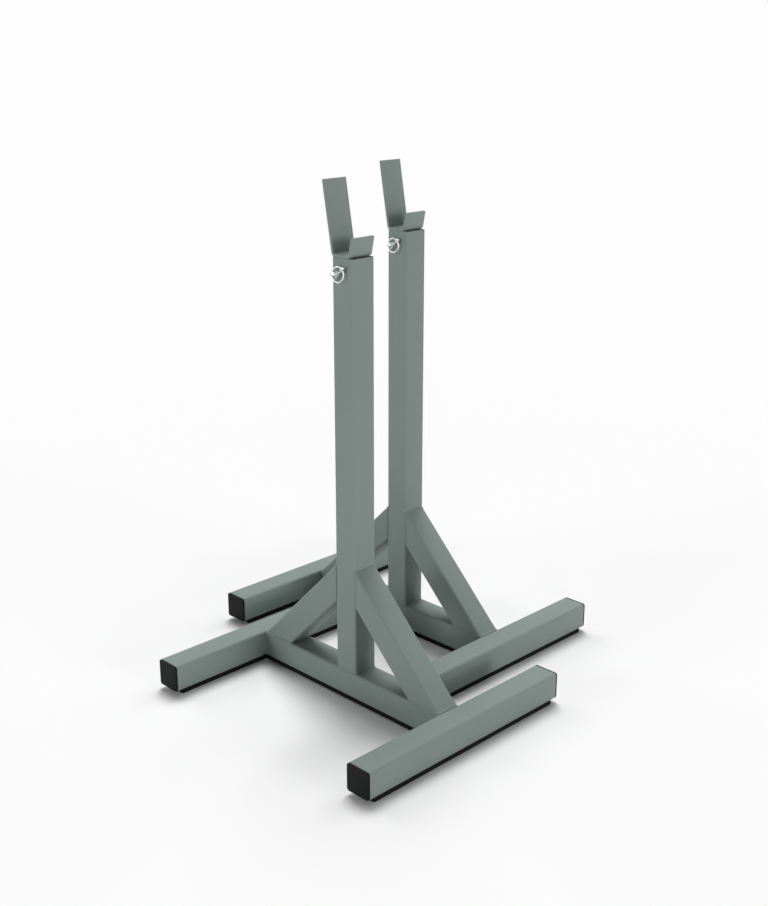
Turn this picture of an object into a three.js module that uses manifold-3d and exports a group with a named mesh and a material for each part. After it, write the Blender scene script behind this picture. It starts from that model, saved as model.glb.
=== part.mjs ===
// A pair of free-standing squat stands.
// Each stand has an H-shaped base of square tube, a braced upright, a telescoping post
// with a bent plate hook on top, and a lock pin held by a ringed linch pin.
// Units are millimetres. X runs along the feet and along the bar in the hooks,
// Y along the crossbeams with the tall flags at +Y, and Z up from the floor.
// The origin is on the floor, midway between the two stands.

import * as THREE from 'three';
import { mergeVertices } from 'three/addons/utils/BufferGeometryUtils.js';
import Module from 'manifold-3d';

const wasm = await Module();
wasm.setup();

// Driving dimensions: frame of one stand
const frameTube = 63;
const frameWall = 3;
const frameCorner = 6;
const footLength = 600;
const standWidth = 695;
const uprightLength = 942;
const braceToeGap = 2;

// Driving dimensions: how the pair stands, nested with each foot beside the other's beam
const footEndToBeam = 14.5;
const footToFoot = 119;

// Driving dimensions: telescoping post
const postSlack = 3;
const postWall = 3;
const postCorner = 4;
const postFootroom = 95;
const holePitch = 50;
const holeCount = 13;
const guideThickness = 8;
const guideRunningGap = 0.3;

// Driving dimensions: hook
const hookPlate = 6;
const hookBendRadius = 3;
const flagRise = 155;
const lipRise = 42;
const lipSetback = 9;

// Driving dimensions: lock pin
const lockPinDiameter = 10;
const lockPinDrop = 30;
const lockPinGrip = 31;
const lockPinNose = 6;
const lockPinGripChamfer = 2.5;
const lockPinNoseTaper = 4;
const lockPinNoseDiameter = 6.5;
const lockPinHoleGap = 0.3;

// Driving dimensions: linch pin and its ring
const linchDiameter = 4.5;
const linchHoleGap = 0.25;
const linchStandOff = 7.5;
const linchTipPastRing = 1;
const linchTipTaper = 3;
const linchTipDiameter = 2.4;
const linchHeadHeight = 13;
const linchHeadWidth = 6.5;
const linchHeadDepth = 6.5;
const linchHeadRound = 2.5;
const linchEyeRise = 5.3;
const ringRadius = 16;
const ringWire = 3.2;
const ringHoleGap = 0.3;
const ringEndGap = 1.6;

// Driving dimensions: end caps, and the rubber strips under the base
const capHead = 5;
const capEdgeRound = 1.5;
const plugLength = 24;
const plugWall = 2;
const ribDepth = 1.4;
const ribThickness = 1.6;
const ribCount = 3;
const stripThickness = 10;
const stripEdgeRound = 2.5;
const stripEdgeMargin = 1.5;
const stripEndMargin = 19;

// Clearances
const seatGap = 0.3;
const cutOverrun = 5;

// Angles, in degrees
const flagLeanDegrees = 10;
const lipLeanDegrees = 11.5;
const linchTiltDegrees = 45;

// Least inner corner of a tube, as a share of its wall
const innerCornerShare = 0.25;

// Facets on each arc: a tube's corner, a plug's corner, a bend of the plate, a bore, a
// round pin and the ring's wire, with the steps along the ring
const cornerFacets = 4;
const plugCornerFacets = 2;
const bendFacets = 8;
const boreFacets = 16;
const pinFacets = 24;
const wireFacets = 8;
const ringSteps = 40;

// Heights and places that follow from the sizes
const frameHalf = frameTube / 2;
const frameBore = frameTube - 2 * frameWall;
const postTube = frameBore - 2 * postSlack;
const footBottom = stripThickness + seatGap;
const tubeCentre = footBottom + frameHalf;
const uprightBottom = footBottom + frameTube + seatGap;
const uprightTop = uprightBottom + uprightLength;
const footCentre = (standWidth - frameTube) / 2;
const braceToe = standWidth / 2 - frameTube - braceToeGap;
const hookBottom = uprightTop + seatGap;
const postLength = uprightLength - postFootroom;
const postBottom = uprightTop - postLength;
const lockPinHeight = uprightTop - lockPinDrop;
const lockPinRadius = lockPinDiameter / 2;
const lockPinBore = lockPinRadius + lockPinHoleGap;
const linchPlace = -frameHalf - linchStandOff;
const linchHinge = lockPinRadius + seatGap + linchEyeRise;
const footStripLength = footLength - 2 * stripEndMargin;
const beamStripLength = 2 * (footCentre - frameHalf + stripEdgeMargin - seatGap);
const pairAlongFeet = footLength / 2 + frameHalf + footEndToBeam;
const pairAlongBeam = frameTube + footToFoot;

// Finishes
const paintedSteel = { color: 0x7c8882, roughness: 0.5, metalness: 0.15 };
const blackPlastic = { color: 0x1f2224, roughness: 0.6, metalness: 0 };
const blackRubber = { color: 0x17181a, roughness: 0.85, metalness: 0 };
const zincPlate = { color: 0xc4c9cc, roughness: 0.3, metalness: 0.9 };

// Solids and their cuts

// Joins a closed geometry's shared corners, drops its empty triangles and makes it solid.
function solidOf(geometry) {
  const bare = geometry.clone();
  bare.deleteAttribute('normal');
  bare.deleteAttribute('uv');
  const merged = mergeVertices(bare);
  const corners = merged.index.array;
  const triangles = [];
  for (let i = 0; i < corners.length; i += 3) {
    const [a, b, c] = corners.slice(i, i + 3);
    if (a !== b && b !== c && c !== a) triangles.push(a, b, c);
  }
  return new wasm.Manifold(new wasm.Mesh({
    numProp: 3,
    vertProperties: new Float32Array(merged.attributes.position.array),
    triVerts: new Uint32Array(triangles),
  }));
}

function meshOf(name, solid, finish) {
  const surface = solid.getMesh();
  const geometry = new THREE.BufferGeometry();
  geometry.setAttribute('position', new THREE.BufferAttribute(surface.vertProperties, 3));
  geometry.setIndex(new THREE.BufferAttribute(surface.triVerts, 1));
  geometry.computeVertexNormals();
  const mesh = new THREE.Mesh(geometry, new THREE.MeshStandardMaterial(finish));
  mesh.name = name;
  return mesh;
}

function box(low, high) {
  const size = new THREE.Vector3().subVectors(high, low);
  const centre = new THREE.Vector3().addVectors(low, high).divideScalar(2);
  const geometry = new THREE.BoxGeometry(size.x, size.y, size.z);
  geometry.translate(centre.x, centre.y, centre.z);
  return solidOf(geometry);
}

// A drill across the tube, along X at the given height.
function drillAcross(side, height) {
  const drill = new THREE.CylinderGeometry(
    lockPinBore,
    lockPinBore,
    side + 2 * cutOverrun,
    boreFacets,
  );
  drill.rotateZ(Math.PI / 2);
  drill.translate(0, 0, height);
  return solidOf(drill);
}

// Square sections

function roundedSquare(side, corner) {
  const inset = side / 2 - corner;
  const outline = new THREE.Shape();
  outline.absarc(inset, inset, corner, 0, Math.PI / 2);
  outline.absarc(-inset, inset, corner, Math.PI / 2, Math.PI);
  outline.absarc(-inset, -inset, corner, Math.PI, Math.PI * 1.5);
  outline.absarc(inset, -inset, corner, Math.PI * 1.5, Math.PI * 2);
  return outline;
}

function innerCorner(corner, wall) {
  return Math.max(corner - wall, wall * innerCornerShare);
}

// A prism of the outline along +Z from the origin.
function prism(outline, length, facets) {
  return new THREE.ExtrudeGeometry(outline, {
    depth: length,
    bevelEnabled: false,
    curveSegments: facets / 2,
  });
}

function squareTube(side, wall, corner, length) {
  const outline = roundedSquare(side, corner);
  outline.holes.push(roundedSquare(side - 2 * wall, innerCorner(corner, wall)));
  return prism(outline, length, cornerFacets);
}

function centredFrameTube(length) {
  const tube = squareTube(frameTube, frameWall, frameCorner, length);
  tube.translate(0, 0, -length / 2);
  return tube;
}

// Frame

function foot(name, y) {
  const tube = centredFrameTube(footLength - 2 * capHead - 2 * seatGap);
  tube.rotateY(Math.PI / 2);
  const mesh = meshOf(name, solidOf(tube), paintedSteel);
  mesh.position.set(0, y, tubeCentre);
  return mesh;
}

function crossbeam(name) {
  const tube = centredFrameTube(standWidth - 2 * frameTube - 2 * seatGap);
  tube.rotateX(Math.PI / 2);
  const mesh = meshOf(name, solidOf(tube), paintedSteel);
  mesh.position.set(0, 0, tubeCentre);
  return mesh;
}

function upright(name) {
  const tube = solidOf(squareTube(frameTube, frameWall, frameCorner, uprightLength));
  const drill = drillAcross(frameTube, uprightLength - lockPinDrop);
  const mesh = meshOf(name, tube.subtract(drill), paintedSteel);
  mesh.position.set(0, 0, uprightBottom);
  return mesh;
}

// A 45 degree tube, drawn on the +Y side and trimmed to stand on the crossbeam and to
// meet the upright's face. The untrimmed tube runs on past both.
function brace(name, side) {
  const toeToFace = braceToe - frameHalf;
  const tube = centredFrameTube(toeToFace * Math.SQRT2 + 2 * frameTube);
  tube.rotateX(Math.PI / 4);
  tube.translate(0, frameHalf + toeToFace / 2, toeToFace / 2 - frameHalf * Math.SQRT2);
  const room = box(
    new THREE.Vector3(-frameTube, frameHalf + seatGap, 0),
    new THREE.Vector3(frameTube, standWidth, uprightLength),
  );
  const mesh = meshOf(name, solidOf(tube).intersect(room), paintedSteel);
  mesh.rotation.z = side > 0 ? 0 : Math.PI;
  mesh.position.set(0, 0, uprightBottom);
  return mesh;
}

// Plastic inserts and rubber strips

// A hollow square plug with ribs round it, along -Z from the origin and open at its far
// end. It runs up into a head by the given depth.
function ribbedPlug(bore, boreCorner, depthIntoHead) {
  const side = bore - 2 * ribDepth;
  const corner = innerCorner(boreCorner, ribDepth);
  const hollow = roundedSquare(side - 2 * plugWall, innerCorner(corner, plugWall));
  const sleeveOutline = roundedSquare(side, corner);
  sleeveOutline.holes.push(hollow);
  const sleeve = prism(sleeveOutline, plugLength + depthIntoHead, plugCornerFacets);
  sleeve.translate(0, 0, -plugLength);
  const ribOutline = roundedSquare(bore - 2 * seatGap, boreCorner);
  ribOutline.holes.push(roundedSquare(side - plugWall, innerCorner(corner, plugWall)));
  let plug = solidOf(sleeve);
  for (let i = 1; i <= ribCount; i += 1) {
    const rib = prism(ribOutline, ribThickness, plugCornerFacets);
    rib.translate(0, 0, -(i * plugLength) / (ribCount + 1) - ribThickness / 2);
    plug = plug.add(solidOf(rib));
  }
  return plug;
}

// The cap's head covers the tube's end and has its softened edge on the outside only.
function endCap(name, x, y) {
  const outline = roundedSquare(frameTube - 2 * capEdgeRound, frameCorner - capEdgeRound);
  const head = new THREE.ExtrudeGeometry(outline, {
    depth: capHead,
    bevelThickness: capEdgeRound,
    bevelSize: capEdgeRound,
    bevelSegments: 2,
    curveSegments: cornerFacets / 2,
  });
  head.translate(0, 0, -capEdgeRound);
  const room = box(
    new THREE.Vector3(-frameTube, -frameTube, 0),
    new THREE.Vector3(frameTube, frameTube, capHead),
  );
  const plug = ribbedPlug(frameBore, innerCorner(frameCorner, frameWall), capHead / 2);
  const mesh = meshOf(name, solidOf(head).intersect(room).add(plug), blackPlastic);
  mesh.rotation.y = Math.sign(x) * Math.PI / 2;
  mesh.position.set(x, y, tubeCentre);
  return mesh;
}

// A strip along the underside of a tube that runs along X, its two lower edges rounded.
function rubberStrip(name, length) {
  const side = frameHalf - stripEdgeMargin;
  const inset = side - stripEdgeRound;
  const outline = new THREE.Shape();
  outline.moveTo(side, stripThickness);
  outline.lineTo(-side, stripThickness);
  outline.absarc(-inset, stripEdgeRound, stripEdgeRound, Math.PI, Math.PI * 1.5);
  outline.absarc(inset, stripEdgeRound, stripEdgeRound, Math.PI * 1.5, Math.PI * 2);
  const strip = prism(outline, length, cornerFacets);
  strip.translate(0, 0, -length / 2);
  strip.rotateX(Math.PI / 2);
  strip.rotateZ(Math.PI / 2);
  return meshOf(name, solidOf(strip), blackRubber);
}

// Telescoping post

function post(name) {
  let tube = solidOf(squareTube(postTube, postWall, postCorner, postLength));
  for (let i = 0; i < holeCount; i += 1) {
    tube = tube.subtract(drillAcross(postTube, postLength - lockPinDrop - i * holePitch));
  }
  const mesh = meshOf(name, tube, paintedSteel);
  mesh.position.set(0, 0, postBottom);
  return mesh;
}

// A plastic plug in the post's lower end, whose flange runs in the upright's bore.
function postGuide(name) {
  const side = frameBore - 2 * guideRunningGap;
  const outline = roundedSquare(side, innerCorner(frameCorner, frameWall));
  const flange = solidOf(prism(outline, guideThickness, cornerFacets));
  const bore = postTube - 2 * postWall;
  const plug = ribbedPlug(bore, innerCorner(postCorner, postWall), guideThickness / 2);
  const mesh = meshOf(name, flange.add(plug), blackPlastic);
  mesh.rotation.x = Math.PI;
  mesh.position.set(0, 0, postBottom - seatGap);
  return mesh;
}

// Hook

// One face of a bent plate as a line of points. It starts at the given point and heading
// and goes along the legs, with a turn to the left after each leg but the last.
function bentLine(start, firstHeading, legs, bends, radius) {
  const points = [start];
  let at = start;
  let heading = firstHeading;
  legs.forEach((leg, i) => {
    const along = new THREE.Vector2(Math.cos(heading), Math.sin(heading));
    at = at.clone().addScaledVector(along, leg);
    points.push(at);
    if (i === bends.length) return;
    const centre = new THREE.Vector2(-along.y, along.x).multiplyScalar(radius).add(at);
    for (let step = 1; step <= bendFacets; step += 1) {
      points.push(at.clone().rotateAround(centre, (bends[i] * step) / bendFacets));
    }
    at = points[points.length - 1];
    heading += bends[i];
  });
  return points;
}

// The plate's outline, drawn from the flag's top down, along the base and up the lip.
// Across the drawing runs -Y, and up the drawing Z.
function hookOutline() {
  const flagLean = THREE.MathUtils.degToRad(flagLeanDegrees);
  const lipLean = THREE.MathUtils.degToRad(lipLeanDegrees);
  const outerRadius = hookPlate + hookBendRadius;
  const bends = [Math.PI / 2 - flagLean, Math.PI / 2 - lipLean];
  const [flagSetback, lipBendSetback] = bends.map((bend) => outerRadius * Math.tan(bend / 2));
  const legs = [
    flagRise / Math.cos(flagLean) - flagSetback,
    frameTube - lipSetback - flagSetback - lipBendSetback,
    lipRise / Math.cos(lipLean) - lipBendSetback,
  ];
  const heading = flagLean - Math.PI / 2;
  const top = new THREE.Vector2(-frameHalf - flagRise * Math.tan(flagLean), flagRise);
  const inward = new THREE.Vector2(-Math.sin(heading), Math.cos(heading));
  const innerTop = top.clone().addScaledVector(inward, hookPlate);
  const outer = bentLine(top, heading, legs, bends, outerRadius);
  const inner = bentLine(innerTop, heading, legs, bends, hookBendRadius);
  return new THREE.Shape([...outer, ...inner.reverse()]);
}

function hook(name) {
  const plate = prism(hookOutline(), frameTube, bendFacets);
  plate.translate(0, 0, -frameHalf);
  plate.rotateX(Math.PI / 2);
  plate.rotateZ(-Math.PI / 2);
  const mesh = meshOf(name, solidOf(plate), paintedSteel);
  mesh.position.set(0, 0, hookBottom);
  return mesh;
}

// Pins

// A solid turned about Y from pairs of radius and height.
function turned(profile, facets) {
  const points = profile.map(([radius, height]) => new THREE.Vector2(radius, height));
  return new THREE.LatheGeometry(points, facets);
}

// The lock pin lies along X with its grip at -X, and is drilled across for the linch pin.
function lockPin(name) {
  const grip = frameHalf + lockPinGrip;
  const nose = frameHalf + lockPinNose;
  const bar = turned([
    [0, -nose],
    [lockPinNoseDiameter / 2, -nose],
    [lockPinRadius, -nose + lockPinNoseTaper],
    [lockPinRadius, grip - lockPinGripChamfer],
    [lockPinRadius - lockPinGripChamfer, grip],
    [0, grip],
  ], pinFacets);
  bar.rotateZ(Math.PI / 2);
  const drillRadius = linchDiameter / 2 + linchHoleGap;
  const drillLength = lockPinDiameter + 2 * cutOverrun;
  const drill = new THREE.CylinderGeometry(drillRadius, drillRadius, drillLength, boreFacets);
  drill.rotateX(Math.PI / 2 + THREE.MathUtils.degToRad(linchTiltDegrees));
  drill.translate(linchPlace, 0, 0);
  const mesh = meshOf(name, solidOf(bar).subtract(solidOf(drill)), zincPlate);
  mesh.position.set(0, 0, lockPinHeight);
  return mesh;
}

// The linch pin and its ring are drawn with the ring's hinge axis along Y through the
// origin and the pin's head up, then tilted and set on the lock pin.
function setOnLockPin(mesh) {
  const tilt = THREE.MathUtils.degToRad(linchTiltDegrees);
  mesh.rotation.x = tilt;
  mesh.position.set(
    linchPlace,
    -linchHinge * Math.sin(tilt),
    lockPinHeight + linchHinge * Math.cos(tilt),
  );
  return mesh;
}

// Half the straight wire of the ring, from the middle of the head to where it bends.
const ringStub = linchHeadWidth / 2 + seatGap;
const ringDrop = Math.sqrt(ringRadius ** 2 - ringStub ** 2);
const ringReach = ringDrop + ringRadius;

// The head is a block with its top corners rounded, and the ring's eye goes through its
// lower half.
function linchHead() {
  const across = linchHeadWidth / 2;
  const inset = across - linchHeadRound;
  const roundStart = linchHeadHeight - linchEyeRise - linchHeadRound;
  const outline = new THREE.Shape();
  outline.moveTo(-across, -linchEyeRise);
  outline.lineTo(across, -linchEyeRise);
  outline.absarc(inset, roundStart, linchHeadRound, 0, Math.PI / 2);
  outline.absarc(-inset, roundStart, linchHeadRound, Math.PI / 2, Math.PI);
  const head = prism(outline, linchHeadDepth, cornerFacets);
  head.translate(0, 0, -linchHeadDepth / 2);
  head.rotateX(Math.PI / 2);
  head.rotateZ(Math.PI / 2);
  const eyeRadius = ringWire / 2 + ringHoleGap;
  const eyeLength = linchHeadWidth + 2 * cutOverrun;
  const eye = new THREE.CylinderGeometry(eyeRadius, eyeRadius, eyeLength, boreFacets);
  return { body: solidOf(head), eye: solidOf(eye) };
}

function linchPin(name) {
  const radius = linchDiameter / 2;
  const tip = -ringReach - ringWire / 2 - linchTipPastRing;
  const shank = turned([
    [0, tip],
    [linchTipDiameter / 2, tip],
    [radius, tip + linchTipTaper],
    [radius, 0],
    [0, 0],
  ], boreFacets);
  shank.rotateX(Math.PI / 2);
  const head = linchHead();
  const solid = solidOf(shank).add(head.body).subtract(head.eye);
  return setOnLockPin(meshOf(name, solid, zincPlate));
}

// The ring's wire starts inside the head's eye, runs straight out of it, goes round below
// the lock pin in a circle and comes back into the eye from the other side. It leans just
// enough to lie against the front of the linch pin's tail.
class RingPath extends THREE.Curve {
  getPoint(t, target = new THREE.Vector3()) {
    const bent = (Math.PI - Math.asin(ringStub / ringRadius)) * ringRadius;
    const straight = ringStub - ringEndGap / 2;
    const fromBottom = (2 * t - 1) * (bent + straight);
    const past = Math.max(Math.abs(fromBottom) - bent, 0);
    const turn = Math.min(Math.abs(fromBottom), bent) / ringRadius;
    const y = Math.sign(fromBottom) * (ringRadius * Math.sin(turn) - past);
    const down = ringDrop + ringRadius * Math.cos(turn);
    const lean = Math.asin((linchDiameter / 2 + ringWire / 2 + seatGap) / ringReach);
    return target.set(-down * Math.sin(lean), y, -down * Math.cos(lean));
  }
}

function linchRing(name) {
  const wire = new THREE.Shape().absarc(0, 0, ringWire / 2, 0, Math.PI * 2);
  const ring = new THREE.ExtrudeGeometry(wire, {
    steps: ringSteps,
    curveSegments: wireFacets / 2,
    extrudePath: new RingPath(),
  });
  return setOnLockPin(meshOf(name, solidOf(ring), zincPlate));
}

// Assembly

function buildStand(prefix) {
  const stand = new THREE.Group();
  const capX = footLength / 2 - capHead;
  stand.add(crossbeam(`${prefix}crossbeam`));
  stand.add(upright(`${prefix}upright`));
  const beamStrip = rubberStrip(`${prefix}middle_rubber_strip`, beamStripLength);
  beamStrip.rotation.z = Math.PI / 2;
  stand.add(beamStrip);
  for (const [end, side] of [['front', -1], ['back', 1]]) {
    const y = side * footCentre;
    stand.add(foot(`${prefix}${end}_foot`, y));
    stand.add(brace(`${prefix}${end}_brace`, side));
    const footStrip = rubberStrip(`${prefix}${end}_rubber_strip`, footStripLength);
    footStrip.position.y = y;
    stand.add(footStrip);
    for (const [hand, sign] of [['left', -1], ['right', 1]]) {
      stand.add(endCap(`${prefix}${end}_${hand}_cap`, sign * capX, y));
    }
  }
  stand.add(post(`${prefix}post`));
  stand.add(postGuide(`${prefix}post_guide`));
  stand.add(hook(`${prefix}hook`));
  stand.add(lockPin(`${prefix}lock_pin`));
  stand.add(linchPin(`${prefix}linch_pin`));
  stand.add(linchRing(`${prefix}linch_ring`));
  return stand;
}

const squatStands = new THREE.Group();
const nearStand = buildStand('near_');
nearStand.position.set(-pairAlongFeet / 2, -pairAlongBeam / 2, 0);
const farStand = buildStand('far_');
farStand.position.set(pairAlongFeet / 2, pairAlongBeam / 2, 0);
squatStands.add(nearStand, farStand);

export default squatStands;
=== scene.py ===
"""A pair of free-standing squat stands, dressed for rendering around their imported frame.

Each stand is welded from square steel tube and powder coated grey-green. A post with a
bent plate hook telescopes in its upright, held by a zinc plated lock pin with a ringed
linch pin through it. Black plastic caps close the feet, and black rubber strips lie
under the base.
"""

import math

import bmesh
import bpy
from mathutils import Euler, Matrix, Vector


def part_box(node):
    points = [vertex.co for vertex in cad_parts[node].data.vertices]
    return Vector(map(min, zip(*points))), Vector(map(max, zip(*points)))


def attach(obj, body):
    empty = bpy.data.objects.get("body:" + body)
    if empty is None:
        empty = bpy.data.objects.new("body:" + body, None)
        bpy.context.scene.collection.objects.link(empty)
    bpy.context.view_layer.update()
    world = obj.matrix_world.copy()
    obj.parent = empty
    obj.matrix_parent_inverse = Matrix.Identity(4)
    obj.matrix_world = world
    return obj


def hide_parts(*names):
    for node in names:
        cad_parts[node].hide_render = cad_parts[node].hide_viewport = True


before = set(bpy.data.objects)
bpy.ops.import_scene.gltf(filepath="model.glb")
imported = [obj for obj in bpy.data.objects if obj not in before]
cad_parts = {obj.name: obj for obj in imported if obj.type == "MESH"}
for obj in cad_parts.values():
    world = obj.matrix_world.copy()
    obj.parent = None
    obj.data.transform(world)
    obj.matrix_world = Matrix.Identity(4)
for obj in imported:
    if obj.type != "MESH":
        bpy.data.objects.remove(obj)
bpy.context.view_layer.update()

# Sizes in this script are millimetres, and this turns them to Blender's metres
MM = 0.001

X, Y, Z = Vector((1, 0, 0)), Vector((0, 1, 0)), Vector((0, 0, 1))

# Tubes of the frame and the post. The bore's sharpest corner is a share of the wall.
FRAME_WALL = 3.0
FRAME_CORNER = 6.0
POST_WALL = 3.0
POST_CORNER = 4.0
SEAT_GAP = 0.3
TUBE_EDGE_ROUND = 0.5
SHARPEST_BORE_CORNER = 0.25

# Pin holes
PIN_HOLE_RADIUS = 5.3
PIN_DROP = 30.0
POST_HOLE_PITCH = 50.0
POST_HOLE_COUNT = 13

# Hook
HOOK_PLATE = 6.0
HOOK_BEND_RADIUS = 3.0
FLAG_LEAN = math.radians(10)
LIP_LEAN = math.radians(11.5)
FLAG_RISE = 155.0
LIP_RISE = 42.0
LIP_SETBACK = 9.0
HOOK_EDGE_ROUND = 0.7

# Lock pin
LOCK_PIN_RADIUS = 5.0
LOCK_PIN_GRIP_ROUND = 2.5
LOCK_PIN_NOSE_TAPER = 4.0
LOCK_PIN_NOSE_RADIUS = 3.25
LOCK_PIN_EDGE_ROUND = 0.3

# Linch pin and ring
LINCH_TILT = math.radians(45)
LINCH_STAND_OFF = 7.5
LINCH_RADIUS = 2.25
LINCH_HOLE_RADIUS = 2.5
LINCH_TIP_TAPER = 3.0
LINCH_TIP_RADIUS = 1.2
LINCH_TIP_PAST_RING = 1.0
LINCH_HEAD_HEIGHT = 13.0
LINCH_HEAD_WIDTH = 6.5
LINCH_HEAD_DEPTH = 6.5
LINCH_HEAD_ROUND = 2.5
LINCH_HEAD_EDGE = 0.9
LINCH_EYE_RISE = 5.3
LINCH_HINGE_RISE = LOCK_PIN_RADIUS + SEAT_GAP + LINCH_EYE_RISE
RING_RADIUS = 16.0
RING_WIRE = 3.2
RING_EYE_RADIUS = 1.9
RING_END_GAP = 1.6

# Caps and strips
CAP_HEAD = 5.0
CAP_EDGE_ROUND = 1.5
CAP_CROWN = 0.5
CAP_PLUG_LENGTH = 24.0
CAP_PLUG_WALL = 2.0
CAP_PLUG_CORNER = 1.0
CAP_RIB_DEPTH = 1.4
CAP_RIB_THICKNESS = 1.6
CAP_RIB_COUNT = 3
STRIP_EDGE_ROUND = 2.5
STRIP_END_ROUND = 0.4

# Welds
WELD_RADIUS = 2.4
WELD_SET_IN = 1.0
POST_WELD_RADIUS = 2.0
WELD_RIPPLE_PITCH = 2.6
WELD_RIPPLE_SHARE = 0.05
WELD_WANDER_SHARE = 0.16
WELD_WANDER_LENGTH = 9.0

# How finely each curve is drawn: counts of steps, lengths of steps and angles
CORNER_STEPS = 8
BEND_STEPS = 16
PIN_STEPS = 64
GRIP_STEPS = 5
EDGE_SEGMENTS = 3
CAP_EDGE_STEPS = 6
CAP_CROWN_SHARES = (0.8, 0.6, 0.4, 0.2)
WELD_STEP = 0.65
WELD_SIDES = 12
RING_STEPS = 96
RING_WIRE_STEP = 0.5
RING_WIRE_SIDES = 20
ROUNDED_ANGLE = math.radians(35)
CREASE_ANGLE = math.radians(32)

# How the photograph was taken: a level camera in front of the stands' corner, at eye
# height, looking down a little
CAMERA_PLACE = (-2045.9, -2060.5, 1479.5)
CAMERA_YAW = 45.0958
CAMERA_PITCH = -18.1776
FOCAL_PIXELS = 1317.1
PHOTO_HEIGHT_PIXELS = 906
FILM_LONG_SIDE = 36.0
CAMERA_REACH_METRES = 100

# Sockets of a colour mix node, whose names stand for other types too
MIX_FACTOR, MIX_FIRST, MIX_SECOND, MIX_RESULT = 0, 6, 7, 2


def linear(colour):
    """An sRGB hex colour as Blender's linear red, green, blue and alpha."""
    channels = [int(colour[i:i + 2], 16) / 255 for i in (1, 3, 5)]
    turned = [c / 12.92 if c <= 0.04045 else ((c + 0.055) / 1.055) ** 2.4 for c in channels]
    return (*turned, 1.0)


def add(tree, kind, settings=None, links=None):
    """Adds a node, with its properties from settings and its inputs from links. An input
    takes another node's output or a plain value."""
    node = tree.nodes.new(kind)
    for name, value in (settings or {}).items():
        setattr(node, name, value)
    for name, value in (links or {}).items():
        if isinstance(value, bpy.types.NodeSocket):
            tree.links.new(value, node.inputs[name])
        else:
            node.inputs[name].default_value = value
    return node


def fineness(millimetres):
    """The scale of a noise whose grains are about that large, on Object coordinates."""
    return 1 / (millimetres * MM)


# Camera

camera = bpy.data.objects.new("photo_camera", bpy.data.cameras.new("photo_camera"))
bpy.context.scene.collection.objects.link(camera)
camera.data.sensor_width = FILM_LONG_SIDE
camera.data.lens = FOCAL_PIXELS * FILM_LONG_SIDE / PHOTO_HEIGHT_PIXELS
camera.data.clip_end = CAMERA_REACH_METRES
camera.location = Vector(CAMERA_PLACE) * MM
camera.rotation_euler = Euler(
    (math.radians(90 + CAMERA_PITCH), 0, math.radians(CAMERA_YAW - 90)))
bpy.context.scene.camera = camera
bpy.context.scene.view_settings.view_transform = "Standard"


# Materials

def new_material(name):
    """An empty material with its output and the piece's own coordinates."""
    material = bpy.data.materials.new(name)
    material.use_nodes = True
    tree = material.node_tree
    tree.nodes.clear()
    place = add(tree, "ShaderNodeTexCoord").outputs["Object"]
    return material, tree, place


def powder_coat():
    """Satin powder coat on steel, sprayed dry and baked. It gives the eye an even soft
    grey-green of low sheen, with a faint orange peel and a fine dry speckle."""
    material, tree, place = new_material("satin_powder_coat")
    drift = add(tree, "ShaderNodeTexNoise", links={
        "Vector": place,
        "Scale": fineness(160),
    })
    # The real peel is about 1 mm across. It is drawn at 3 mm, so that it shows.
    peel = add(tree, "ShaderNodeTexNoise", links={
        "Vector": place,
        "Scale": fineness(3),
    })
    # The real speckle is about 0.1 mm. It is drawn at 0.8 mm, so that it shows.
    grain = add(tree, "ShaderNodeTexNoise", links={
        "Vector": place,
        "Scale": fineness(0.8),
    })
    colour = add(tree, "ShaderNodeMix", {"data_type": "RGBA"}, {
        MIX_FACTOR: drift.outputs["Fac"],
        MIX_FIRST: linear("#7e8a86"),
        MIX_SECOND: linear("#84908c"),
    })
    gloss = add(tree, "ShaderNodeMapRange", links={
        "Value": grain.outputs["Fac"],
        "To Min": 0.52,
        "To Max": 0.64,
    })
    rolling = add(tree, "ShaderNodeBump", links={
        "Height": peel.outputs["Fac"],
        "Distance": 0.2 * MM,
    })
    normal = add(tree, "ShaderNodeBump", links={
        "Height": grain.outputs["Fac"],
        "Distance": 0.06 * MM,
        "Normal": rolling.outputs["Normal"],
    })
    coat = add(tree, "ShaderNodeBsdfPrincipled", links={
        "Base Color": colour.outputs[MIX_RESULT],
        "Roughness": gloss.outputs["Result"],
        "IOR": 1.5,
        "Specular IOR Level": 0.15,
        "Normal": normal.outputs["Normal"],
    })
    add(tree, "ShaderNodeOutputMaterial", links={"Surface": coat.outputs["BSDF"]})
    return material


def moulded_plastic():
    """Black polyethylene, moulded in a spark-eroded tool. It gives the eye a soft black
    with a fine leathery grain, whose pits swallow most of the sheen."""
    material, tree, place = new_material("moulded_black_plastic")
    # The real grain is about 0.3 mm. It is drawn at 0.9 mm, so that it shows.
    grain = add(tree, "ShaderNodeTexNoise", links={
        "Vector": place,
        "Scale": fineness(0.9),
        "Detail": 3.0,
    })
    colour = add(tree, "ShaderNodeMix", {"data_type": "RGBA"}, {
        MIX_FACTOR: grain.outputs["Fac"],
        MIX_FIRST: linear("#0d0f0f"),
        MIX_SECOND: linear("#131414"),
    })
    gloss = add(tree, "ShaderNodeMapRange", links={
        "Value": grain.outputs["Fac"],
        "To Min": 0.5,
        "To Max": 0.62,
    })
    normal = add(tree, "ShaderNodeBump", links={
        "Height": grain.outputs["Fac"],
        "Distance": 0.05 * MM,
    })
    plastic = add(tree, "ShaderNodeBsdfPrincipled", links={
        "Base Color": colour.outputs[MIX_RESULT],
        "Roughness": gloss.outputs["Result"],
        "IOR": 1.5,
        "Specular IOR Level": 0.1,
        "Normal": normal.outputs["Normal"],
    })
    add(tree, "ShaderNodeOutputMaterial", links={"Surface": plastic.outputs["BSDF"]})
    return material


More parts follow.
